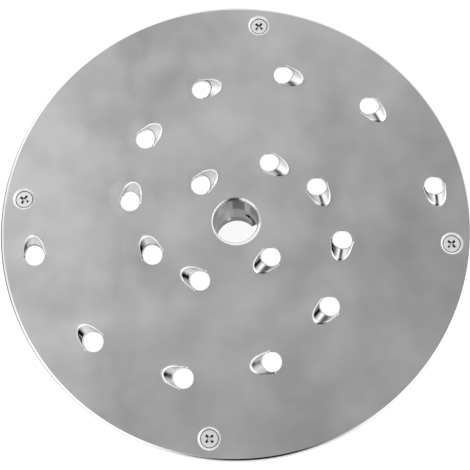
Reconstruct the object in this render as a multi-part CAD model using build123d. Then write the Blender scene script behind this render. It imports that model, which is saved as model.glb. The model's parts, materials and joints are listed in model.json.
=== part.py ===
# Shredding disc of a continuous-feed vegetable cutter.
# A stainless plate with pressed hoods is screwed to a cast light-alloy carrier, whose hub slides up
# on the drive shaft and locks on the shaft's cross pin by a twist. The disc turns counter-clockwise.
# Origin: centre of the hub's lower end, on which the disc stands. Z runs up the bore. Millimetres.
import os
from math import atan2, cos, degrees, radians, sin, tan

from build123d import *

# Whole disc
disc_d = 205.0
disc_height = 34.0

# Shredding plate: sheet, rim and centre hole
plate_t = 1.5
plate_inset = 0.1
plate_rim_w = 1.1
plate_rim_drop = 0.5
bore_bevel = 1.0

# Shredding holes: two spiral arms, half a turn apart, listed from the hub outwards
hole_d = 8.5
hole_hub_gap = 2.15
hole_pitch_r = 8.25
hole_angles = (139.5, 67.0, 29.5, -4.5, -37.0, -69.5, -101.0, -132.0, -163.5)
spiral_angles = (0.0, 180.0)

# Hood over the clockwise edge of each hole: a barrel-shaped scoop whose crest runs down into the plate
hood_margin = 0.3
lip_rise = 2.4
hood_length = 4.7
hood_bend = 0.5
mouth_lead = 0.4
mouth_angle = 45.0
rim_gap = 0.5

# Carrier casting
bore_d = 19.5
bore_lead = 0.4
hub_d = 32.0
hub_foot_d = 26.0
hub_edge = 1.0
ring_w = 8.0
ring_h = 9.0
casting_bevel = 1.0
arm_w = 12.0
arm_root_round = 5.0
arm_angles = (90.0, 270.0)
rib_t = 5.0
rib_drop = 13.0
rib_run = 44.0
lug_wall = 3.5
lug_round = 3.0

# Bayonet slots in the hub's lower end
slot_w = 5.5
slot_height = 13.25
slot_twist_angle = 20.0
slot_angles = (35.0, 215.0)

# Countersunk screws
screw_d = 4.0
screw_l = 8.0
screw_inset = 8.5
screw_sink = 1.0
head_d = 7.5
head_clearance = 0.1
shank_clearance = 0.25
recess_span = 4.2
recess_w = 1.0
recess_depth = 1.7
recess_taper_angle = 14.0
recess_angles = {0.0: 52.0, 90.0: 54.0, 180.0: 66.0, 270.0: 51.0}

# Levels and radii that follow from the sizes above
plate_top = disc_height
plate_under = disc_height - plate_t
ring_bottom = plate_under - ring_h
disc_r = disc_d / 2
plate_r = disc_r - plate_inset
bore_r = bore_d / 2
hub_r = hub_d / 2
hub_foot_r = hub_foot_d / 2
hole_r = hole_d / 2
hood_w = hole_d + 2 * hood_margin
hood_reach = hole_r + hood_length
ring_inner_r = disc_r - ring_w
screw_circle_r = disc_r - screw_inset
head_top = plate_top - screw_sink
lug_r = screw_d / 2 + lug_wall
touching = 0.001
first_hole_r = hub_r + hole_hub_gap + hole_r
outermost_hole_r = ring_inner_r - rim_gap - hood_w / 2

# The barrel's crest passes over the hole's edge at the lip's height and meets the plate at the tip.
# Its radius gives the hood its full width across the middle of the hole.
crest_angle = degrees(atan2(lip_rise, hood_length))
crest_height = hood_reach * tan(radians(crest_angle))
crest_depth = hood_reach * sin(radians(crest_angle))
barrel_r = (crest_depth**2 + (hood_w / 2) ** 2) / (2 * crest_depth)


def hole_places():
    """Centre and clockwise direction of each shredding hole, as a location on the plate's face."""
    places = []
    for index, angle in enumerate(hole_angles):
        radius = first_hole_r + index * hole_pitch_r
        if radius > outermost_hole_r:
            continue
        for start in spiral_angles:
            turn = angle + start
            spot = (radius * cos(radians(turn)), radius * sin(radians(turn)), plate_top)
            places.append(Pos(*spot) * Rot(0, 0, turn - 90))
    return places


def screw_places(height):
    """The four screw axes at a given height, with the turn of each cross recess."""
    places = []
    for angle, turn in recess_angles.items():
        spot = (screw_circle_r * cos(radians(angle)), screw_circle_r * sin(radians(angle)), height)
        places.append(Pos(*spot) * Rot(0, 0, turn))
    return places


def barrel(radius):
    """Round bar under the hood's crest line, which runs down clockwise through the hood's tip."""
    bar = Cylinder(radius, 4 * hood_reach, rotation=(0, 90, 0))
    return Pos(hood_reach, 0, 0) * Rot(0, crest_angle, 0) * Pos(0, 0, -barrel_r) * bar


def hood_bump():
    """The raised scoop before its mouth is opened, from behind the hole to the tip."""
    room = Box(3 * hood_reach, 2 * hood_w, 4 * crest_height, align=(Align.MIN, Align.CENTER, Align.MIN))
    return barrel(barrel_r) & Pos(-hole_r, 0, -plate_t) * room


def hood_mouth():
    """The space in front of the hood: above the plate, and behind it a slope that frees the lip."""
    top = 4 * crest_height
    tail = -2 * hood_reach
    lean = top / tan(radians(mouth_angle))
    outline = Polyline((-mouth_lead, 0), (lean - mouth_lead, top), (tail, top), (tail, 0), close=True)
    return extrude(Plane.XZ * make_face(outline), amount=2 * hood_w, both=True)


def hood_hollow():
    """The space under the hood, one sheet thickness inside its outer skin, from mid-hole to the tip."""
    behind = Box(3 * hood_reach, 2 * hood_w, 8 * crest_height, align=(Align.MIN, Align.CENTER, Align.CENTER))
    return barrel(barrel_r - plate_t) & behind


def plain_sheet():
    """The blank before pressing: a round sheet with a bevelled rim and a bevelled centre hole."""
    section = Polyline(
        (bore_r, plate_under),
        (plate_r, plate_under),
        (plate_r, plate_top - plate_rim_drop),
        (plate_r - plate_rim_w, plate_top),
        (bore_r + bore_bevel, plate_top),
        (bore_r, plate_top - bore_bevel),
        close=True,
    )
    return revolve(Plane.XZ * make_face(section), axis=Axis.Z)


def shredding_plate():
    places = hole_places()
    plate = plain_sheet() + [place * hood_bump() for place in places]
    face_level = plate.edges().filter_by_position(Axis.Z, plate_top, plate_top)
    plate = chamfer(face_level.filter_by(GeomType.ELLIPSE), hood_bend)
    hole = Cylinder(hole_r, 4 * (plate_t + crest_height))
    for tool in (hood_mouth(), hood_hollow(), hole):
        plate = plate - [place * tool for place in places]
    return plate - [place * head_seat(0, shank_clearance) for place in screw_places(head_top)]


def head_seat(gap, shank_gap):
    """Room for a screw below and above its head's top: countersink, clear way up and shank hole."""
    head_r = head_d / 2 + gap
    shank_r = screw_d / 2 + shank_gap
    cone_h = head_r
    way_up = screw_sink + plate_t
    cone = Cone(0, head_r + way_up, cone_h + way_up, align=(Align.CENTER, Align.CENTER, Align.MIN))
    shank = Cylinder(shank_r, ring_h + 2 * way_up, align=(Align.CENTER, Align.CENTER, Align.MAX))
    return Pos(0, 0, -cone_h) * cone + shank


def carrier_plan():
    """The casting seen from below: rim ring, hub, two arms, and a lug where a screw meets no arm."""
    plan = Circle(disc_r) - Circle(ring_inner_r) + Circle(hub_r)
    for direction in arm_angles:
        arm = Rectangle(ring_inner_r + ring_w / 2, arm_w, align=(Align.MIN, Align.CENTER))
        plan = plan + Rot(0, 0, direction) * arm
    roots = [corner for corner in plan.vertices() if Vector(corner).length < disc_r - ring_w / 2]
    plan = fillet(roots, arm_root_round)
    for direction in recess_angles:
        if direction in arm_angles:
            continue
        centre = Vector(screw_circle_r, 0, 0).rotate(Axis.Z, direction)
        plan = plan + Pos(*centre) * Circle(lug_r)
        on_lug = [v for v in plan.vertices() if abs((Vector(v) - centre).length - lug_r) < touching]
        plan = fillet(on_lug, lug_round)
    return plan


def carrier():
    up = (Align.CENTER, Align.CENTER, Align.MIN)
    frame = Pos(0, 0, ring_bottom) * extrude(carrier_plan(), ring_h)
    low_edges = frame.edges().filter_by_position(Axis.Z, ring_bottom, ring_bottom)
    outer_edge = low_edges.filter_by(GeomType.CIRCLE).sort_by(SortBy.RADIUS)[-1]
    frame = chamfer(outer_edge, casting_bevel)
    body = frame + Cone(hub_foot_r, hub_r, plate_under, align=up)
    for direction in arm_angles:
        rib_low = ring_bottom - rib_drop
        rib_end = hub_r + rib_run
        corners = ((0, ring_bottom), (rib_end, ring_bottom), (hub_foot_r, rib_low), (0, rib_low))
        rib = make_face(Polyline(*corners, close=True))
        web = extrude(Plane.XZ * rib, amount=rib_t / 2, both=True)
        body = body + Rot(0, 0, direction) * web
    body = body - Cylinder(bore_r, 3 * disc_height)
    foot = body.edges().filter_by(GeomType.CIRCLE).filter_by_position(Axis.Z, 0, 0).sort_by(SortBy.RADIUS)
    body = chamfer(foot[0], bore_lead)
    foot = body.edges().filter_by(GeomType.CIRCLE).filter_by_position(Axis.Z, 0, 0).sort_by(SortBy.RADIUS)
    body = chamfer(foot[-1], hub_edge)
    body = body - [Rot(0, 0, direction) * bayonet_slot() for direction in slot_angles]
    return body - [place * head_seat(head_clearance, 0) for place in screw_places(head_top)]


def bayonet_slot():
    """Entry up from the hub's lower end, then a leg that runs counter-clockwise to a round seat."""
    reach = 2 * hub_r
    up_front = (Align.MIN, Align.CENTER, Align.MIN)
    entry = Box(reach, slot_w, slot_height, align=up_front)
    pin_way = Pos(0, 0, slot_height) * Rot(0, 90, 0) * Cylinder(
        slot_w / 2, reach, align=(Align.CENTER, Align.CENTER, Align.MIN)
    )
    band = Pos(0, slot_height) * Rectangle(reach, slot_w, align=(Align.MIN, Align.CENTER))
    leg = revolve(Plane.XZ * band, axis=Axis.Z, revolution_arc=slot_twist_angle)
    return entry + pin_way + leg + Rot(0, 0, slot_twist_angle) * pin_way


def plate_screw():
    """Countersunk machine screw with a cross recess, its head's top at the origin."""
    down = (Align.CENTER, Align.CENTER, Align.MAX)
    cone_h = (head_d - screw_d) / 2
    head = Cone(screw_d / 2, head_d / 2, cone_h, align=down)
    shank = Cylinder(screw_d / 2, screw_l, align=down)
    wing = extrude(Rectangle(recess_span, recess_w), recess_depth, dir=(0, 0, -1), taper=recess_taper_angle)
    return head + shank - wing - Rot(0, 0, 90) * wing


os.makedirs("parts", exist_ok=True)
export_step(shredding_plate(), "parts/shredding_plate.step")
export_step(carrier(), "parts/carrier.step")
screws = [place * plate_screw() for place in screw_places(head_top)]
export_step(Compound(children=screws), "parts/plate_screws.step")
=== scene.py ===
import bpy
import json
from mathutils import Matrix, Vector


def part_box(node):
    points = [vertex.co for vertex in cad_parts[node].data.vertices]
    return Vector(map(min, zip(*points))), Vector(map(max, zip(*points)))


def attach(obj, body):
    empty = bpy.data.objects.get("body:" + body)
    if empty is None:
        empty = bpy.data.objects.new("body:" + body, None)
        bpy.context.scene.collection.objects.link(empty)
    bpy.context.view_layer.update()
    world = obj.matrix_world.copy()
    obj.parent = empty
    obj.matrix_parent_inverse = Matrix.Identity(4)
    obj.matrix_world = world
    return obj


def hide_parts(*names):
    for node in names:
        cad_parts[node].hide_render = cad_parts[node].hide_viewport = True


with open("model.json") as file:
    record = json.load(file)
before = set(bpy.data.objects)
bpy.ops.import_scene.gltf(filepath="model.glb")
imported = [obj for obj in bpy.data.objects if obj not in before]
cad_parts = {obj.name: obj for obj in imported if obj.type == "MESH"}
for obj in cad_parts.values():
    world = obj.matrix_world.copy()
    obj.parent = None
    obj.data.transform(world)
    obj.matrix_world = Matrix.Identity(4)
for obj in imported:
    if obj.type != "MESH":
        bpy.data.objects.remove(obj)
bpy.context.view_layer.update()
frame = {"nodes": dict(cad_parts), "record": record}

import json
from math import acos, atan2, cos, hypot, pi, radians, sin, sqrt, tan

import bmesh
import bpy
from mathutils import Euler, Matrix, Vector

# Carrier: one light-alloy casting with a rim ring, two ribbed arms and the hub. It is left as cast and
# tumbled, apart from the bore, the hub's end and the ring's outside, which are turned. The bayonet
# slots for the shaft's cross pin are milled in from below.
mm = 0.001
weld = 0.002 * mm
flat_limit = radians(0.5)
carrier_edge = 0.25 * mm
bore_r = 9.75 * mm
turned_skin = 0.4 * mm
slot_top = 16.2 * mm
slot_out = 13.0 * mm
slot_wall_lean = 0.6
smooth_limit = radians(32)
carrier_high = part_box("carrier")[1]


def linear(hex_colour):
    """The linear red, green, blue and alpha of an sRGB hex colour."""
    parts = [int(hex_colour[i:i + 2], 16) / 255 for i in (1, 3, 5)]
    return [p / 12.92 if p <= 0.04045 else ((p + 0.055) / 1.055) ** 2.4 for p in parts] + [1.0]


def add_node(tree, kind, inputs=None, **settings):
    """Adds a node, sets its properties, and fills or links its inputs."""
    node = tree.nodes.new(kind)
    for name, value in settings.items():
        setattr(node, name, value)
    for name, value in (inputs or {}).items():
        if isinstance(value, bpy.types.NodeSocket):
            tree.links.new(value, node.inputs[name])
        else:
            node.inputs[name].default_value = value
    return node


def new_material(name):
    """An empty node material with its output, and the object coordinates that its patterns follow."""
    material = bpy.data.materials.new(name)
    material.use_nodes = True
    tree = material.node_tree
    tree.nodes.clear()
    output = add_node(tree, "ShaderNodeOutputMaterial")
    place = add_node(tree, "ShaderNodeTexCoord").outputs["Object"]
    return material, tree, output, place


def new_object(name, mesh):
    """Puts a mesh into the scene as an object at the origin."""
    piece = bpy.data.objects.new(name, mesh)
    bpy.context.scene.collection.objects.link(piece)
    return piece


def finished(piece, materials=()):
    """Turns a piece with its modifiers into one plain mesh, and gives it its materials."""
    evaluated = piece.evaluated_get(bpy.context.evaluated_depsgraph_get())
    mesh = bpy.data.meshes.new_from_object(evaluated)
    piece.modifiers.clear()
    piece.data = mesh
    mesh.name = piece.name
    if materials:
        mesh.materials.clear()
        for material in materials:
            mesh.materials.append(material)


def even_shading(piece):
    """Smooth shading that keeps flat faces flat and hard edges hard."""
    piece.data.shade_smooth()
    piece.data.set_sharp_from_angle(angle=smooth_limit)
    weighted = piece.modifiers.new("Even shading", "WEIGHTED_NORMAL")
    weighted.keep_sharp = True
    weighted.weight = 100


# Cast aluminium alloy: pale grey, a little grainy, with a dull skin that varies in patches.
cast_alloy, tree, output, place = new_material("Cast aluminium alloy")
grain_mm = 0.8
patch_mm = 14.0
patches = add_node(tree, "ShaderNodeTexNoise", {"Vector": place, "Scale": 1 / (patch_mm * mm), "Detail": 3.0})
skin = add_node(tree, "ShaderNodeValToRGB", {"Fac": patches.outputs["Fac"]})
skin.color_ramp.elements[0].position = 0.3
skin.color_ramp.elements[0].color = linear("#9A9A9A")
skin.color_ramp.elements[1].position = 0.7
skin.color_ramp.elements[1].color = linear("#B9B9B9")
dullness = add_node(tree, "ShaderNodeMapRange", {
    "Value": patches.outputs["Fac"],
    "To Min": 0.42,
    "To Max": 0.58,
})
grain = add_node(tree, "ShaderNodeTexNoise", {"Vector": place, "Scale": 1 / (grain_mm * mm), "Detail": 2.0})
relief = add_node(tree, "ShaderNodeBump", {
    "Height": grain.outputs["Fac"],
    "Strength": 0.25,
    "Distance": 0.05 * mm,
})
surface = add_node(tree, "ShaderNodeBsdfPrincipled", {
    "Base Color": skin.outputs["Color"],
    "Roughness": dullness.outputs["Result"],
    "Normal": relief.outputs["Normal"],
    "Metallic": 1.0,
})
tree.links.new(surface.outputs["BSDF"], output.inputs["Surface"])

# The same alloy where a lathe cut it: smoother and brighter, with fine rings left by the tool.
# The real feed is too fine to show, so the rings are drawn coarser.
turned_alloy, tree, output, place = new_material("Turned aluminium alloy")
feed_mm = 0.9
smear_mm = 5.0
height = add_node(tree, "ShaderNodeSeparateXYZ", {"Vector": place}).outputs["Z"]
rings = add_node(tree, "ShaderNodeMath", {0: height, 1: 2 * pi / (feed_mm * mm)}, operation="MULTIPLY")
rings = add_node(tree, "ShaderNodeMath", {0: rings.outputs[0]}, operation="SINE")
smears = add_node(tree, "ShaderNodeTexNoise", {"Vector": place, "Scale": 1 / (smear_mm * mm), "Detail": 3.0})
tone = add_node(tree, "ShaderNodeValToRGB", {"Fac": smears.outputs["Fac"]})
tone.color_ramp.elements[0].position = 0.3
tone.color_ramp.elements[0].color = linear("#A4A4A4")
tone.color_ramp.elements[1].position = 0.7
tone.color_ramp.elements[1].color = linear("#B6B6B6")
polish = add_node(tree, "ShaderNodeMapRange", {
    "Value": smears.outputs["Fac"],
    "To Min": 0.24,
    "To Max": 0.34,
})
relief = add_node(tree, "ShaderNodeBump", {
    "Height": rings.outputs[0],
    "Strength": 0.12,
    "Distance": 0.02 * mm,
})
surface = add_node(tree, "ShaderNodeBsdfPrincipled", {
    "Base Color": tone.outputs["Color"],
    "Roughness": polish.outputs["Result"],
    "Normal": relief.outputs["Normal"],
    "Metallic": 1.0,
})
tree.links.new(surface.outputs["BSDF"], output.inputs["Surface"])

# The bore's colour paints light and shade on it: bright upright strips and dark patches are painted
# reflections, a band near the lower end is painted shade with a painted glint, and the lowest end is painted
# shade. The strips run upright, so their tones follow the direction round the bore.
bore_painted_light, tree, output, place = new_material("Worn aluminium bore")
reflection_split = 20.0
reflection_split_soft = 1.0
painted_band_top = 7.0
painted_band_soft = 0.5
lowest_shade_top = 3.6
lowest_shade_soft = 0.6
streak_mm = 1.6
streak_squeeze = 0.06
upper_reflection_tones = {
    10: "#505050", 38: "#343434", 52: "#363636",
    57: "#8A8A8A", 71: "#A2A2A2",
    75: "#242424", 104: "#1A1A1A",
    107: "#828282", 132: "#8C8C8C", 141: "#9D9D9D",
    160: "#5E5E5E", 170: "#666666",
}
lower_reflection_tones = {60: "#7E7E7E", 100: "#7A7A7A", 120: "#A0A0A0", 145: "#666666"}
painted_band_tones = {
    60: "#707070", 70: "#505050", 112: "#545454",
    117: "#C8C8C8", 121: "#C8C8C8", 126: "#5A5A5A",
}
lowest_shade_tone = "#4C4C4C"
spread = add_node(tree, "ShaderNodeSeparateXYZ", {"Vector": place}).outputs
turn = add_node(tree, "ShaderNodeMath", {0: spread["Y"], 1: spread["X"]}, operation="ARCTAN2")
half_turn = add_node(tree, "ShaderNodeMapRange", {"Value": turn.outputs[0], "From Max": pi})
run = add_node(tree, "ShaderNodeMapping", {"Vector": place, "Scale": (1.0, 1.0, streak_squeeze)})
streaks = add_node(tree, "ShaderNodeTexNoise", {
    "Vector": run.outputs["Vector"],
    "Scale": 1 / (streak_mm * mm),
})
shade = add_node(tree, "ShaderNodeMapRange", {"Value": streaks.outputs["Fac"], "To Min": 0.8, "To Max": 1.2})


def strips(tree, half_turn, tones):
    """A ramp of tones round the far half of the bore, given by degrees."""
    ramp = add_node(tree, "ShaderNodeValToRGB", {"Fac": half_turn.outputs["Result"]})
    while len(ramp.color_ramp.elements) < len(tones):
        ramp.color_ramp.elements.new(1.0)
    for stop, (turn, colour) in zip(ramp.color_ramp.elements, tones.items()):
        stop.position = turn / 180
        stop.color = linear(colour)
    return ramp.outputs["Color"]


def above(tree, height, height_mm, soft_mm, low, high):
    """One colour below a height in the bore and another above it."""
    part = add_node(tree, "ShaderNodeMapRange", {
        "Value": height,
        "From Min": (height_mm - soft_mm) * mm,
        "From Max": (height_mm + soft_mm) * mm,
    })
    mix = add_node(tree, "ShaderNodeMix", {0: part.outputs["Result"], 6: low, 7: high}, data_type="RGBA")
    return mix.outputs[2]


upper_wall = strips(tree, half_turn, upper_reflection_tones)
lower_wall = strips(tree, half_turn, lower_reflection_tones)
painted_band = strips(tree, half_turn, painted_band_tones)
# Painted reflections above and below one height, then the band of painted shade with its painted glint, then
# painted shade at the lowest end.
wall = above(tree, spread["Z"], reflection_split, reflection_split_soft, lower_wall, upper_wall)
wall = above(tree, spread["Z"], painted_band_top, painted_band_soft, painted_band, wall)
wall = above(tree, spread["Z"], lowest_shade_top, lowest_shade_soft, linear(lowest_shade_tone), wall)
tone = add_node(tree, "ShaderNodeVectorMath", {0: wall, "Scale": shade.outputs["Result"]}, operation="SCALE")
surface = add_node(tree, "ShaderNodeBsdfPrincipled", {
    "Base Color": tone.outputs["Vector"],
    "Roughness": 0.34,
    "Metallic": 1.0,
})
tree.links.new(surface.outputs["BSDF"], output.inputs["Surface"])

# Painted shade for slots, recesses and gaps where shade falls: nearly black, half dull, in soft blotches.
painted_shade, tree, output, place = new_material("Old grease")
shade_blotch_mm = 0.6
shade_blotches = add_node(tree, "ShaderNodeTexNoise", {"Vector": place, "Scale": 1 / (shade_blotch_mm * mm), "Detail": 2.0})
tone = add_node(tree, "ShaderNodeValToRGB", {"Fac": shade_blotches.outputs["Fac"]})
tone.color_ramp.elements[0].position = 0.3
tone.color_ramp.elements[0].color = linear("#181818")
tone.color_ramp.elements[1].position = 0.7
tone.color_ramp.elements[1].color = linear("#262626")
shade_dullness = add_node(tree, "ShaderNodeMapRange", {"Value": shade_blotches.outputs["Fac"], "To Min": 0.45, "To Max": 0.6})
surface = add_node(tree, "ShaderNodeBsdfPrincipled", {
    "Base Color": tone.outputs["Color"],
    "Roughness": shade_dullness.outputs["Result"],
})
tree.links.new(surface.outputs["BSDF"], output.inputs["Surface"])

casting = bmesh.new()
casting.from_mesh(frame["nodes"]["carrier"].data)
bmesh.ops.remove_doubles(casting, verts=casting.verts, dist=weld)
bmesh.ops.dissolve_limit(casting, angle_limit=flat_limit, verts=casting.verts, edges=casting.edges)
casting_mesh = bpy.data.meshes.new("carrier_casting")
casting.to_mesh(casting_mesh)
casting.free()
carrier = new_object("carrier_casting", casting_mesh)
eased = carrier.modifiers.new("Eased edges", "BEVEL")
eased.width = carrier_edge
eased.segments = 2
eased.limit_method = "ANGLE"
eased.angle_limit = smooth_limit
finished(carrier)
even_shading(carrier)
carrier_finishes = (cast_alloy, turned_alloy, bore_painted_light, painted_shade)
finished(carrier, carrier_finishes)
for face in carrier.data.polygons:
    spot = face.center
    reach = hypot(spot.x, spot.y)
    on_end = spot.z < turned_skin
    slot_wall = abs(face.normal.dot(spot.normalized())) < slot_wall_lean
    finish = cast_alloy
    if reach < bore_r + turned_skin:
        # The bore takes the colour with painted reflections and painted shade.
        finish = bore_painted_light
    elif slot_wall and reach < slot_out and spot.z < slot_top and not on_end:
        # The bayonet slots' walls carry painted shade.
        finish = painted_shade
    elif on_end or reach > carrier_high.x - turned_skin:
        finish = turned_alloy
    face.material_index = carrier_finishes.index(finish)
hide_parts("carrier")
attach(carrier, "root")

# Shredding plate: polished stainless sheet with round holes in two spiral arms. Beside each hole a die has
# pressed it up into a hood that opens counter-clockwise. The rim is bevelled and buffed, the centre hole is
# rounded over, and four countersunk holes take the screws.
sheet_t = 1.5
rim_bevel_w = 0.6
rim_bevel_angle = radians(11)
rim_bevel_soft = 0.25
rim_round = 0.8
rim_over = 0.3
rim_shift = -0.35
rim_steps = 8
rim_count = 360
bore_count = 128
seat_count = 64
bore_round_w = 1.1
bore_round_drop = 0.8
bore_round_shift = (0.4, -0.15)
edge_ease = 0.15
lip_bevel_w = 0.4
lip_bevel_angle = radians(30)
hole_r = 4.25
hood_margin = 0.3
lip_rise = 2.4
hood_length = 4.7
hood_crown = 0.2
hood_bend = 0.6
tip_bend = 0.3
tip_half_w = 2.4
hood_lift = 0.12
# The painted highlight line lies just outside the hood's foot, and it ends where the foot leans to the front.
foot_at = 0.1
foot_half = 0.24
front_lean = -0.25
flank_slope = 2.6
bend_limit = 1.5
hollow_bend = 0.4
mouth_lead = 0.4
blank_shift = 2.3
blank_r = 10.8
head_r = 3.75
head_sink = 1.0
# The countersink's mouth is eased by these steps out from its edge and down.
seat_ease = ((0.08, 0.0), (-0.02, 0.04), (-0.14, 0.14))
seat_groove = 0.14
plate_low, plate_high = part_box("shredding_plate")
plate_top = plate_low.z / mm + sheet_t
plate_r = plate_high.x / mm + rim_over
screw_circle_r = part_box("plate_screws")[1].x / mm - head_r

hood_reach = hole_r + hood_length
crest_angle = atan2(lip_rise - hood_crown, hood_length)
crest_depth = hood_reach * sin(crest_angle) + hood_crown * cos(crest_angle)
barrel_r = (crest_depth ** 2 + (hole_r + hood_margin) ** 2) / (2 * crest_depth)
under = plate_top - sheet_t
seat_r = head_r + head_sink


def scoop(x, y, radius):
    """Height of a barrel under the hood's crest line, over the sheet's face; the hole's centre is at 0, 0.
    Its flanks run straight down from where they are as steep as the sheet was pressed."""
    shoulder = radius * flank_slope / hypot(1, flank_slope)
    side = min(abs(y), shoulder)
    arch = sqrt(radius ** 2 - side ** 2) - flank_slope * (abs(y) - side) - barrel_r
    from_tip = min(max((hood_reach - x) / (hood_length / 2), 0), 1)
    crown = hood_crown * from_tip * (2 - from_tip)
    return (arch + (hood_reach - x) * sin(crest_angle)) / cos(crest_angle) + crown


def hood_slope(y):
    """How steep the hood is at its foot, at a distance from the crest line."""
    least = 0.01
    flank = abs(y) / sqrt(max(barrel_r ** 2 - y ** 2, least))
    return hypot(tan(crest_angle), flank / cos(crest_angle))


def soft_max(value, floor, bend):
    """The larger of two heights, with a rounded bend where they cross."""
    near = max(bend - abs(value - floor), 0) / bend
    return max(value, floor) + near ** 2 * bend / 4


def outer_height(x, y):
    """Top of the sheet: flat in front of the hole, and behind the mouth's slope the hood."""
    free = max(x + mouth_lead, 0)
    bend = hood_bend * min(hood_slope(y), bend_limit)
    bend += tip_bend * max(1 - (y / tip_half_w) ** 2, 0)
    drawn = max(1 - ((x - blank_shift) ** 2 + y ** 2) / blank_r ** 2, 0)
    return min(soft_max(scoop(x, y, barrel_r), 0, bend), free) + hood_lift * drawn ** 2


def inner_height(x, y):
    """Underside of the sheet, hollow under the hood."""
    inside = scoop(x, y, barrel_r - sheet_t) if abs(y) < barrel_r - sheet_t and x > 0 else -2 * sheet_t
    return soft_max(inside, -sheet_t, hollow_bend)


def hood_lines():
    """Plan lines from the hole's edge out to the round blank that is pressed. Two follow the mouth."""
    mouth = acos(-mouth_lead / hole_r)
    mouth_out = sqrt(blank_r ** 2 - (mouth_lead + blank_shift) ** 2)
    blank_mouth = atan2(mouth_out, -mouth_lead - blank_shift)
    hood_count = 30
    slope_count = 8
    open_count = 12
    slope_span = radians(20)
    slope_end = mouth - slope_span
    edge_angles = [slope_end * i / hood_count for i in range(hood_count)]
    edge_angles += [slope_end + (mouth - slope_end) * i / slope_count for i in range(slope_count)]
    edge_angles += [mouth + (pi - mouth) * i / open_count for i in range(open_count + 1)]
    edge_angles += [2 * pi - a for a in reversed(edge_angles[1:-1])]
    lines = []
    for angle in edge_angles:
        half = min(angle, 2 * pi - angle)
        if half <= mouth:
            out = half * blank_mouth / mouth
        else:
            out = blank_mouth + (half - mouth) * (pi - blank_mouth) / (pi - mouth)
        out = out if angle <= pi else -out
        start = Vector((hole_r * cos(angle), hole_r * sin(angle)))
        end = Vector((blank_shift + blank_r * cos(out), blank_r * sin(out)))
        lines.append((start, end))
    return lines


def stations(start, end, bevel):
    """Points along a plan line: the lip's bevel, the crown, the bend at the hood's foot and the sheet."""
    search_steps = 400
    bend_spread = 2.15
    crown_steps = 9
    bend_steps = 11
    flat_steps = 6
    span = (end - start).length
    along = (end - start) / span
    foot = bevel
    for step in range(search_steps):
        point = start + along * (span * step / search_steps)
        if scoop(point.x, point.y, barrel_r) > 0 and point.x > -mouth_lead:
            foot = max(foot, span * step / search_steps)
    bend_from = max(foot - hood_bend, bevel + edge_ease)
    bend_to = bend_from + bend_spread * hood_bend
    places = [0, 0.5 * bevel]
    places += [bevel + (bend_from - bevel) * i / crown_steps for i in range(crown_steps)]
    places += [bend_from + (bend_to - bend_from) * i / bend_steps for i in range(bend_steps)]
    places += [bend_to + (span - bend_to) * i / flat_steps for i in range(flat_steps + 1)]
    return [start + along * s for s in places]


def bridge(shell, one, two):
    """Faces between two rings of as many points."""
    for i, corner in enumerate(one):
        j = (i + 1) % len(one)
        shell.faces.new((corner, one[j], two[j], two[i]))


def rings_from(shell, rows):
    """Turns rows of plan lines into rings of points, one ring for each station."""
    return [[shell.verts.new(Vector(point) * mm) for point in ring] for ring in zip(*rows)]


hood_shell = bmesh.new()
top_rows = []
wall_rows = []
under_rows = []
for start, end in hood_lines():
    lip = outer_height(*start)
    bevel = edge_ease + (lip_bevel_w - edge_ease) * lip / lip_rise
    plan = stations(start, end, bevel)
    root = inner_height(*start)
    tops = [(p.x, p.y, outer_height(p.x, p.y)) for p in plan]
    bevel_drop = bevel * tan(lip_bevel_angle)
    tops[0] = (start.x, start.y, tops[2][2] - bevel_drop)
    tops[1] = (plan[1].x, plan[1].y, tops[2][2] - bevel_drop / 2)
    unders = [(p.x, p.y, inner_height(p.x, p.y)) for p in plan[2::2]]
    top_rows.append(tops)
    wall_rows.append([(start.x, start.y, root + edge_ease)])
    under_rows.append(unders)
top_rings = rings_from(hood_shell, top_rows)
wall_rings = rings_from(hood_shell, wall_rows)
under_rings = rings_from(hood_shell, under_rows)
chain = list(reversed(top_rings)) + wall_rings + under_rings
for one, two in zip(chain, chain[1:]):
    bridge(hood_shell, one, two)
bmesh.ops.recalc_face_normals(hood_shell, faces=hood_shell.faces)
hood_mesh = bpy.data.meshes.new("hood_and_hole")
hood_shell.to_mesh(hood_mesh)
hood_shell.free()
blank_edge = [end for start, end in hood_lines()]


def ring_at(shell, centre, radius, height, count):
    """A ring of points about an upright line."""
    turns = [2 * pi * i / count for i in range(count)]
    spots = [(centre[0] + radius * cos(t), centre[1] + radius * sin(t), height) for t in turns]
    return [shell.verts.new(Vector(spot) * mm) for spot in spots]


def lathe(shell, centre, section, count):
    """Turns a section of radius and height round an upright line; gives back its first and last ring."""
    rings = [ring_at(shell, centre, radius, height, count) for radius, height in section]
    for one, two in zip(rings, rings[1:]):
        bridge(shell, one, two)
    return rings[0], rings[-1]


def loop_edges(shell, ring):
    """The edges round a ring of points."""
    pairs = [(corner, ring[(i + 1) % len(ring)]) for i, corner in enumerate(ring)]
    return [shell.edges.get(pair) or shell.edges.new(pair) for pair in pairs]


hole_spots = []
for opening in frame["record"]["physics"]["openings"]:
    if opening["name"].startswith("shredding_hole"):
        low, high = opening["box_m"]
        hole_spots.append(((low[0] + high[0]) / 2 / mm, (low[1] + high[1]) / 2 / mm))

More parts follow.
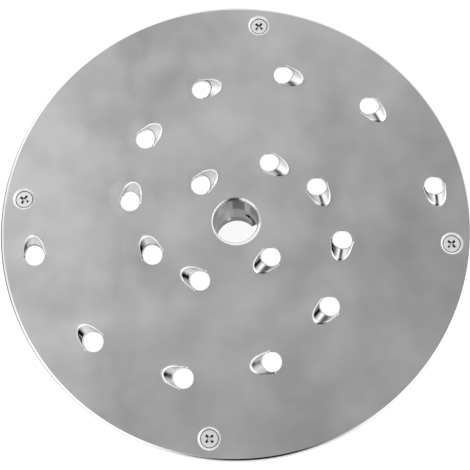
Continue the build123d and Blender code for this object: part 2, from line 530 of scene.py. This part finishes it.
sheet = bmesh.new()
rim_drop = (rim_bevel_w - rim_bevel_soft / 2) * tan(rim_bevel_angle)
rim_in = plate_r - rim_round * (1 - sin(rim_bevel_angle))
rim_start = rim_in - rim_bevel_w
edge_z = plate_top - rim_drop - rim_round * cos(rim_bevel_angle)
rim_section = [(plate_r - edge_ease, under), (plate_r, under + edge_ease)]
for step in range(rim_steps + 1):
    lean = pi / 2 + (rim_bevel_angle - pi / 2) * step / rim_steps
    rim_section.append((plate_r - rim_round * (1 - sin(lean)), edge_z + rim_round * cos(lean)))
for step in range(rim_steps + 1):
    inward = 1 - step / rim_steps
    soft_drop = rim_bevel_soft * inward ** 2 * tan(rim_bevel_angle) / 2
    rim_section.append((rim_start + rim_bevel_soft * inward, plate_top - soft_drop))
rim_rings = []
for radius, level in rim_section:
    aside = rim_shift * (radius - rim_start) / (plate_r - rim_start)
    rim_rings.append(ring_at(sheet, (aside, 0), radius, level, rim_count))
for one, two in zip(rim_rings, rim_rings[1:]):
    bridge(sheet, one, two)
bore_rings = []
for step in range(rim_steps + 1):
    turn = step / rim_steps * pi / 2
    out = 1 - sin(turn)
    level = plate_top - bore_round_drop * (1 - cos(turn))
    centre = (bore_round_shift[0] * out, bore_round_shift[1] * out)
    bore_rings.append(ring_at(sheet, centre, bore_r / mm + bore_round_w * out, level, bore_count))
bore_rings.append(ring_at(sheet, (0, 0), bore_r / mm, under, bore_count))
for one, two in zip(bore_rings, bore_rings[1:]):
    bridge(sheet, one, two)
top_loops = [rim_rings[-1], bore_rings[0]]
under_loops = [rim_rings[0], bore_rings[-1]]
seat_turns = [quarter * pi / 2 for quarter in range(4)]
seat_spots = [(screw_circle_r * cos(turn), screw_circle_r * sin(turn)) for turn in seat_turns]
seat_section = [(seat_r + out, plate_top - drop) for out, drop in seat_ease]
seat_section.append((seat_r - head_sink + seat_groove, plate_top - head_sink + seat_groove))
seat_section.append((seat_r - sheet_t, under))
for centre in seat_spots:
    seat_top, seat_under = lathe(sheet, centre, seat_section, seat_count)
    top_loops.append(seat_top)
    under_loops.append(seat_under)
for spot in hole_spots:
    clockwise = Matrix.Rotation(atan2(spot[1], spot[0]) - pi / 2, 2)
    edge = [Vector(spot) + clockwise @ corner for corner in blank_edge]
    top_loops.append([sheet.verts.new(Vector((p.x, p.y, plate_top)) * mm) for p in edge])
    under_loops.append([sheet.verts.new(Vector((p.x, p.y, under)) * mm) for p in edge])
for loops in (top_loops, under_loops):
    edges = [e for ring in loops for e in loop_edges(sheet, ring)]
    bmesh.ops.triangle_fill(sheet, use_beauty=True, edges=edges)
bmesh.ops.recalc_face_normals(sheet, faces=sheet.faces)
sheet_mesh = bpy.data.meshes.new("plate_sheet")
sheet.to_mesh(sheet_mesh)
sheet.free()

# Polished stainless sheet: mid grey and clean. The sheet is a little wavy after pressing, so that the
# studio's light lies on it in soft clouds, and the polish leaves faint streaks.
stainless, tree, output, place = new_material("Polished stainless sheet")
cloud_mm = 28.0
streak_mm = 1.2
streak_squeeze = 0.04
wave_mm = 30.0
wave_height = 0.5 * mm
clouds = add_node(tree, "ShaderNodeTexNoise", {"Vector": place, "Scale": 1 / (cloud_mm * mm), "Detail": 3.0})
tone = add_node(tree, "ShaderNodeValToRGB", {"Fac": clouds.outputs["Fac"]})
tone.color_ramp.elements[0].position = 0.3
tone.color_ramp.elements[0].color = linear("#C7C7C7")
tone.color_ramp.elements[1].position = 0.7
tone.color_ramp.elements[1].color = linear("#E0E0E0")
run = add_node(tree, "ShaderNodeMapping", {"Vector": place, "Scale": (1.0, streak_squeeze, 1.0)})
streaks = add_node(tree, "ShaderNodeTexNoise", {
    "Vector": run.outputs["Vector"],
    "Scale": 1 / (streak_mm * mm),
})
polish = add_node(tree, "ShaderNodeMapRange", {
    "Value": streaks.outputs["Fac"],
    "To Min": 0.09,
    "To Max": 0.13,
})
waves = add_node(tree, "ShaderNodeTexNoise", {"Vector": place, "Scale": 1 / (wave_mm * mm), "Detail": 1.0})
relief = add_node(tree, "ShaderNodeBump", {
    "Height": waves.outputs["Fac"],
    "Strength": 1.0,
    "Distance": wave_height,
})
surface = add_node(tree, "ShaderNodeBsdfPrincipled", {
    "Base Color": tone.outputs["Color"],
    "Roughness": polish.outputs["Result"],
    "Normal": relief.outputs["Normal"],
    "Metallic": 1.0,
})
tree.links.new(surface.outputs["BSDF"], output.inputs["Surface"])


def bare_steel(name, tone, dull, grain_mm):
    """Stainless steel of one tone, whose polish changes a little from spot to spot."""
    steel, tree, output, place = new_material(name)
    grain = add_node(tree, "ShaderNodeTexNoise", {
        "Vector": place,
        "Scale": 1 / (grain_mm * mm),
        "Detail": 2.0,
    })
    polish = add_node(tree, "ShaderNodeMapRange", {
        "Value": grain.outputs["Fac"],
        "To Min": 0.8 * dull,
        "To Max": 1.2 * dull,
    })
    surface = add_node(tree, "ShaderNodeBsdfPrincipled", {
        "Base Color": linear(tone),
        "Roughness": polish.outputs["Result"],
        "Metallic": 1.0,
    })
    tree.links.new(surface.outputs["BSDF"], output.inputs["Surface"])
    return steel


# The rim's bevel is buffed brighter than the face. A bright line of painted highlight runs along the foot of
# each hood, except at the front. The punch left the lip's edge dull, and its grey is painted shade. The
# countersinks are bright and satin from the cutter.
buffed_steel = bare_steel("Buffed stainless rim", "#E8E8E8", 0.1, 2.0)
foot_highlight = bare_steel("Burnished stainless at a bend", "#FFFFFF", 0.1, 1.0)
sheared_lip_shade = bare_steel("Sheared stainless lip", "#7C7C7C", 0.5, 0.3)
cut_steel = bare_steel("Cut stainless in a countersink", "#FFFFFF", 0.6, 0.4)


def foot_distance(x, y):
    """How far a point of the sheet lies outside the line where the hood meets the face."""
    if x <= -mouth_lead:
        return blank_r
    return -scoop(x, y, barrel_r) / min(hood_slope(y), flank_slope)


# The centre hole's rounded edge is white like the countersinks and carries painted light: its near half is a
# painted highlight, and round its far half a ramp of tones paints its reflections, dark in two places.
bore_edge_painted_light, tree, output, place = new_material("Cut stainless at the centre hole")
near_highlight_tone = "#FFFFFF"
edge_reflection_tones = {
    2: "#E0E0E0", 30: "#C8C8C8", 50: "#FFFFFF", 80: "#FFFFFF",
    90: "#6E6E6E", 110: "#666666", 129: "#FFFFFF",
}
spread = add_node(tree, "ShaderNodeSeparateXYZ", {"Vector": place}).outputs
turn = add_node(tree, "ShaderNodeMath", {0: spread["Y"], 1: spread["X"]}, operation="ARCTAN2")
far_side = add_node(tree, "ShaderNodeMath", {0: turn.outputs[0], 1: 0.0}, operation="GREATER_THAN")
half_turn = add_node(tree, "ShaderNodeMapRange", {"Value": turn.outputs[0], "From Max": pi})
tone = add_node(tree, "ShaderNodeMix", {
    0: far_side.outputs[0],
    6: linear(near_highlight_tone),
    7: strips(tree, half_turn, edge_reflection_tones),
}, data_type="RGBA")
surface = add_node(tree, "ShaderNodeBsdfPrincipled", {
    "Base Color": tone.outputs[2],
    "Roughness": 0.5,
    "Metallic": 1.0,
})
tree.links.new(surface.outputs["BSDF"], output.inputs["Surface"])


def repeat_on(base, pattern_mesh, places, turns, material):
    """Sets a pattern at each place, turned about the upright, joins it to the base mesh and welds the two."""
    pattern = new_object(base.name + "_pattern", pattern_mesh)
    spots_mesh = bpy.data.meshes.new(base.name + "_places")
    spots_mesh.from_pydata([Vector(p) * mm for p in places], [], [])
    turn = spots_mesh.attributes.new("turn", "FLOAT", "POINT")
    turn.data.foreach_set("value", turns)
    spots = new_object(base.name + "_places", spots_mesh)
    tree = bpy.data.node_groups.new("Repeat on places", "GeometryNodeTree")
    panel = tree.interface
    panel.new_socket("Geometry", in_out="INPUT", socket_type="NodeSocketGeometry")
    inputs = {
        "Pattern": ("NodeSocketObject", pattern),
        "Places": ("NodeSocketObject", spots),
        "Weld distance": ("NodeSocketFloat", weld),
        "Finish": ("NodeSocketMaterial", material),
    }
    sockets = {}
    for name, (kind, value) in inputs.items():
        sockets[name] = panel.new_socket(name, in_out="INPUT", socket_type=kind)
    panel.new_socket("Geometry", in_out="OUTPUT", socket_type="NodeSocketGeometry")
    given = add_node(tree, "NodeGroupInput").outputs
    pattern_in = add_node(tree, "GeometryNodeObjectInfo", {"Object": given["Pattern"]})
    places_in = add_node(tree, "GeometryNodeObjectInfo", {"Object": given["Places"]})
    turned = add_node(tree, "GeometryNodeInputNamedAttribute", {"Name": "turn"}, data_type="FLOAT")
    upright = add_node(tree, "ShaderNodeCombineXYZ", {"Z": turned.outputs["Attribute"]})
    copies = add_node(tree, "GeometryNodeInstanceOnPoints", {
        "Points": places_in.outputs["Geometry"],
        "Instance": pattern_in.outputs["Geometry"],
        "Rotation": upright.outputs["Vector"],
    })
    solid = add_node(tree, "GeometryNodeRealizeInstances", {"Geometry": copies.outputs["Instances"]})
    joined = add_node(tree, "GeometryNodeJoinGeometry")
    tree.links.new(solid.outputs["Geometry"], joined.inputs["Geometry"])
    tree.links.new(given["Geometry"], joined.inputs["Geometry"])
    welded = add_node(tree, "GeometryNodeMergeByDistance", {
        "Geometry": joined.outputs["Geometry"],
        "Distance": given["Weld distance"],
    })
    coated = add_node(tree, "GeometryNodeSetMaterial", {
        "Geometry": welded.outputs["Geometry"],
        "Material": given["Finish"],
    })
    add_node(tree, "NodeGroupOutput", {"Geometry": coated.outputs["Geometry"]})
    repeat = base.modifiers.new("Repeat on places", "NODES")
    repeat.node_group = tree
    for name, (kind, value) in inputs.items():
        repeat[sockets[name].identifier] = value
    finished(base, (material,))
    for helper in (pattern, spots):
        bpy.data.objects.remove(helper)


plate = new_object("hooded_plate", sheet_mesh)
hole_places = [(x, y, plate_top) for x, y in hole_spots]
hole_turns = [atan2(y, x) - pi / 2 for x, y in hole_spots]
repeat_on(plate, hood_mesh, hole_places, hole_turns, stainless)
even_shading(plate)
plate_finishes = (stainless, cut_steel, painted_shade, bore_edge_painted_light, buffed_steel, foot_highlight, sheared_lip_shade)
finished(plate, plate_finishes)
seat_margin = 0.1
face_skin = 0.005
outer_side = 0.1
for face in plate.data.polygons:
    spot = face.center / mm
    aside = min(hypot(spot.x - x, spot.y - y) for x, y in seat_spots)
    reach = hypot(spot.x, spot.y)
    finish = stainless
    if aside < seat_r + seat_margin and under < spot.z < plate_top:
        # Inside the head's edge the countersink carries painted shade, for the gap round the screw's head.
        finish = cut_steel if aside > head_r + seat_margin else painted_shade
    elif reach > rim_start + rim_bevel_soft / 2:
        finish = buffed_steel
    elif reach < bore_r / mm + 2 * bore_round_w and under < spot.z < plate_top - face_skin:
        # The centre hole's rounded edge takes its painted highlight and painted reflections.
        finish = bore_edge_painted_light
    elif face.normal.z > outer_side and spot.z > plate_top:
        for x, y in hole_spots:
            away = Vector((spot.x - x, spot.y - y))
            if away.length < blank_r:
                local = Matrix.Rotation(pi / 2 - atan2(y, x), 2) @ away
                if away.length < hole_r + lip_bevel_w / 2 and spot.z > plate_top + lip_bevel_w:
                    # The lip's edge is dull from the punch, and its grey is painted shade.
                    finish = sheared_lip_shade
                elif abs(foot_distance(*local) - foot_at) < foot_half and face.normal.y > front_lean:
                    # A line of painted highlight along the hood's foot, left out where the face leans to the
                    # front.
                    finish = foot_highlight
    face.material_index = plate_finishes.index(finish)
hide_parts("shredding_plate")
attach(plate, "root")

# Plate screws: four countersunk machine screws with cross recesses, of bright stainless steel. Their heads
# sit just below the plate's face, and each stopped at its own angle. The recesses carry painted shade.
shank_r = 2.0
shank_ease = 0.4
screw_l = 8.0
# The head's edge is rounded by these steps in from its edge and down.
head_ease = ((0.04, 0.3), (0.06, 0.2), (0.2, 0.0))
groove_w = 0.2
groove_depth = 0.25
recess_half = 2.1
recess_w = 1.0
recess_depth = 1.2
recess_floor_half = 1.0
recess_draw = 0.08
recess_turns = (52, 54, 66, 51)
head_top = plate_top - head_sink


def cross(shell, reach, side, depth):
    """The twelve corners of a cross recess at one depth."""
    wing = [(reach, -side, -depth), (reach, side, -depth), (side, side, -depth)]
    corners = []
    for quarter in range(4):
        swing = Matrix.Rotation(quarter * pi / 2, 3, "Z")
        corners += [swing @ Vector(corner) for corner in wing]
    return [shell.verts.new(corner * mm) for corner in corners]


screw = bmesh.new()
screw_section = [
    (shank_r - shank_ease, -screw_l),
    (shank_r, shank_ease - screw_l),
    (shank_r, shank_r - head_r),
]
screw_section += [(head_r - inset, -depth) for inset, depth in head_ease]
tip, head_edge = lathe(screw, (0, 0), screw_section, seat_count)
screw.faces.new(tip)
half_w = recess_w / 2
recess_mouth = cross(screw, recess_half + edge_ease / 2, half_w + edge_ease / 2, 0)
recess_wall = cross(screw, recess_half, half_w, edge_ease / 2)
recess_floor = cross(screw, recess_floor_half, half_w - recess_draw, recess_depth)
bridge(screw, recess_mouth, recess_wall)
bridge(screw, recess_wall, recess_floor)
screw.faces.new(recess_floor)
edges = loop_edges(screw, head_edge) + loop_edges(screw, recess_mouth)
bmesh.ops.triangle_fill(screw, use_beauty=True, edges=edges)
bmesh.ops.recalc_face_normals(screw, faces=screw.faces)
screw_mesh = bpy.data.meshes.new("countersunk_screw")
screw.to_mesh(screw_mesh)
screw.free()

# Stainless screw steel, bright and satin from tumbling.
screw_steel = bare_steel("Tumbled stainless screw", "#F0F0F0", 0.4, 3.0)

screws = new_object("countersunk_screws", bpy.data.meshes.new("countersunk_screws"))
screw_places = [(x, y, head_top) for x, y in seat_spots]
repeat_on(screws, screw_mesh, screw_places, [radians(turn) for turn in recess_turns], screw_steel)
even_shading(screws)
screw_finishes = (screw_steel, painted_shade)
finished(screws, screw_finishes)
for face in screws.data.polygons:
    spot = face.center / mm
    aside = min(hypot(spot.x - x, spot.y - y) for x, y in seat_spots)
    depth = head_top - spot.z
    # The cross recesses and the ring round each head's edge carry painted shade.
    in_recess = aside < recess_half and edge_ease / 2 < depth < recess_depth - edge_ease
    in_groove = aside > head_r - groove_w and 0 < depth < groove_depth
    face.material_index = screw_finishes.index(painted_shade if in_recess or in_groove else screw_steel)
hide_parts("plate_screws")
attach(screws, "root")

# Studio floor: a wide white sheet of card under the hub. It looks pale to the camera and in polished metal,
# and it still takes the disc's shadow.
floor_size = 6.0
floor_glow = 0.92
floor_tone = "#909090"
floor_mesh = bpy.data.meshes.new("floor")
half = floor_size / 2
floor_corners = [(-half, -half, 0), (half, -half, 0), (half, half, 0), (-half, half, 0)]
floor_mesh.from_pydata(floor_corners, [], [(0, 1, 2, 3)])
floor = new_object("studio_floor", floor_mesh)
white_floor, tree, output, place = new_material("White studio card")
paths = add_node(tree, "ShaderNodeLightPath").outputs
seen = add_node(tree, "ShaderNodeMath", {
    0: paths["Is Camera Ray"],
    1: paths["Is Glossy Ray"],
}, operation="MAXIMUM")
seen = add_node(tree, "ShaderNodeMath", {
    0: seen.outputs[0],
    1: paths["Is Transmission Ray"],
}, operation="MAXIMUM")
glow = add_node(tree, "ShaderNodeMath", {0: seen.outputs[0], 1: floor_glow}, operation="MULTIPLY")
lit = add_node(tree, "ShaderNodeBsdfDiffuse", {"Color": linear(floor_tone)})
pale = add_node(tree, "ShaderNodeEmission", {"Strength": glow.outputs[0]})
both = add_node(tree, "ShaderNodeAddShader", {0: lit.outputs["BSDF"], 1: pale.outputs["Emission"]})
tree.links.new(both.outputs["Shader"], output.inputs["Surface"])
floor_mesh.materials.append(white_floor)

# Studio light: an even pale room, with soft bright panels and darker stretches of wall and ceiling that the
# polished plate mirrors. Each area has its degrees round from the right, its degrees up, its half-width in
# degrees, and how much it adds to the room's level. A thin dark arm overhead draws a faint line on the plate.
scene = bpy.context.scene
world = bpy.data.worlds.new("Studio")
scene.world = world
world.use_nodes = True
tree = world.node_tree
tree.nodes.clear()
paths = add_node(tree, "ShaderNodeLightPath").outputs
direction = add_node(tree, "ShaderNodeTexCoord").outputs["Generated"]
room_level = 0.93
soft_areas = {
    "right wall of light": (342, 50, 38, 0.8),
    "far left panel": (132, 43, 20, 0.7),
    "near left panel": (239, 53, 15, 0.9),
    "left panel": (195, 58, 13, 0.7),
    "left ceiling panel": (224, 75, 9, 1.02),
    "far ceiling": (111, 58, 11, -0.49),
    "right ceiling": (55, 65, 13, -0.56),
    "ceiling": (305, 86, 24, -0.7),
    "camera": (282, 63, 18, -1.3),
    "camera's stand": (285, 34, 17, -0.8),
    "room behind the camera": (294, 6, 20, -0.9),
    "dark left wall": (177, 15, 30, -1.1),
}
arm_side = (0.986, 0.09, 0.14)
arm_half = 0.012
arm_amount = -0.2
level = room_level
for around, up, spread, amount in soft_areas.values():
    flat = cos(radians(up))
    toward = (flat * cos(radians(around)), flat * sin(radians(around)), sin(radians(up)))
    tightness = 1 / (1 - cos(radians(spread)))
    near = add_node(tree, "ShaderNodeVectorMath", {0: direction, 1: toward}, operation="DOT_PRODUCT")
    fall = add_node(tree, "ShaderNodeMath", {
        0: near.outputs["Value"],
        1: tightness,
        2: -tightness,
    }, operation="MULTIPLY_ADD")
    soft = add_node(tree, "ShaderNodeMath", {0: fall.outputs[0]}, operation="EXPONENT")
    total = add_node(tree, "ShaderNodeMath", {
        0: soft.outputs[0],
        1: amount,
        2: level,
    }, operation="MULTIPLY_ADD")
    level = total.outputs[0]
from_arm = add_node(tree, "ShaderNodeVectorMath", {0: direction, 1: arm_side}, operation="DOT_PRODUCT")
square = add_node(tree, "ShaderNodeMath", {
    0: from_arm.outputs["Value"],
    1: from_arm.outputs["Value"],
}, operation="MULTIPLY")
fall = add_node(tree, "ShaderNodeMath", {
    0: square.outputs[0],
    1: -0.5 / arm_half ** 2,
}, operation="MULTIPLY")
soft = add_node(tree, "ShaderNodeMath", {0: fall.outputs[0]}, operation="EXPONENT")
total = add_node(tree, "ShaderNodeMath", {
    0: soft.outputs[0],
    1: arm_amount,
    2: level,
}, operation="MULTIPLY_ADD")
level = add_node(tree, "ShaderNodeMath", {0: total.outputs[0], 1: 0.0}, operation="MAXIMUM")
room = add_node(tree, "ShaderNodeBackground", {"Color": linear("#FFFFFF"), "Strength": level.outputs[0]})
backdrop = add_node(tree, "ShaderNodeBackground", {"Color": linear("#FFFFFF"), "Strength": 1.0})
mixed = add_node(tree, "ShaderNodeMixShader", {
    0: paths["Is Camera Ray"],
    1: room.outputs["Background"],
    2: backdrop.outputs["Background"],
})
add_node(tree, "ShaderNodeOutputWorld", {"Surface": mixed.outputs["Shader"]})

# Camera: in front of the disc and well above it, on a lens a little longer than usual. It is turned about
# its own line of sight, and it aims a little short of the hub, so that the disc fills the picture.
camera_data = bpy.data.cameras.new("Camera")
camera_data.sensor_width = 36.0
camera_data.lens = 78.8
camera_data.clip_start = 0.01
camera = bpy.data.objects.new("Camera", camera_data)
scene.collection.objects.link(camera)
camera_spot = Vector((25.34, -122.37, 464.90)) * mm
aim_spot = Vector((0.56, -6.39, plate_top)) * mm
camera_roll = radians(-5.664)
facing = (aim_spot - camera_spot).to_track_quat("-Z", "Y")
camera.location = camera_spot
camera.rotation_euler = (facing @ Euler((0, 0, camera_roll)).to_quaternion()).to_euler()
scene.camera = camera
scene.view_settings.view_transform = "Standard"
